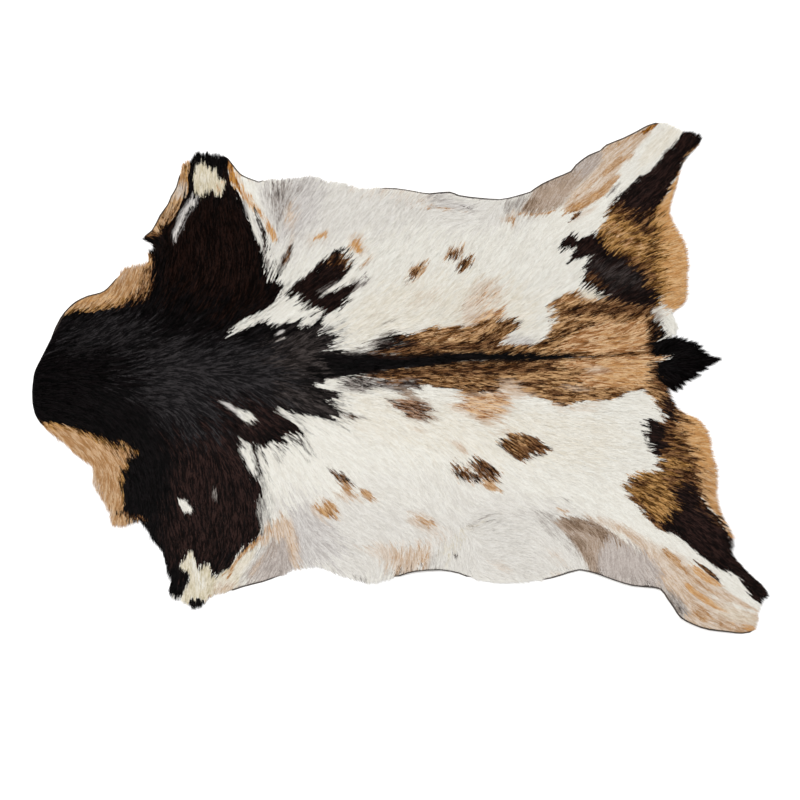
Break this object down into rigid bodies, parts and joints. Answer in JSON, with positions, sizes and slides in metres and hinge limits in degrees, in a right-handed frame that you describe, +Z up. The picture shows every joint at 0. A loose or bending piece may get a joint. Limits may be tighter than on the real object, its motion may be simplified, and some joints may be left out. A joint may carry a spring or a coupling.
{
  "type": "calfskin rug",
  "caption": "Hair-on animal skin laid flat as a floor rug, with neck, four short shanks and a tufted tail.",
  "frame": {"origin": "on the floor, under the centre of the skin's bounding box", "axes": "+X along the back from the neck to the tail, +Y towards the animal's left side, +Z up out of the hair side"},
  "size_m": [1, 0.6948, 0.0132],
  "materials": {
    "hair_on_hide": "short glossy hair in cream, black, brown and tan over suede-backed leather"
  },
  "bodies": {
    "root": {"hide": "hair_on_hide"}
  },
  "joints": []
}
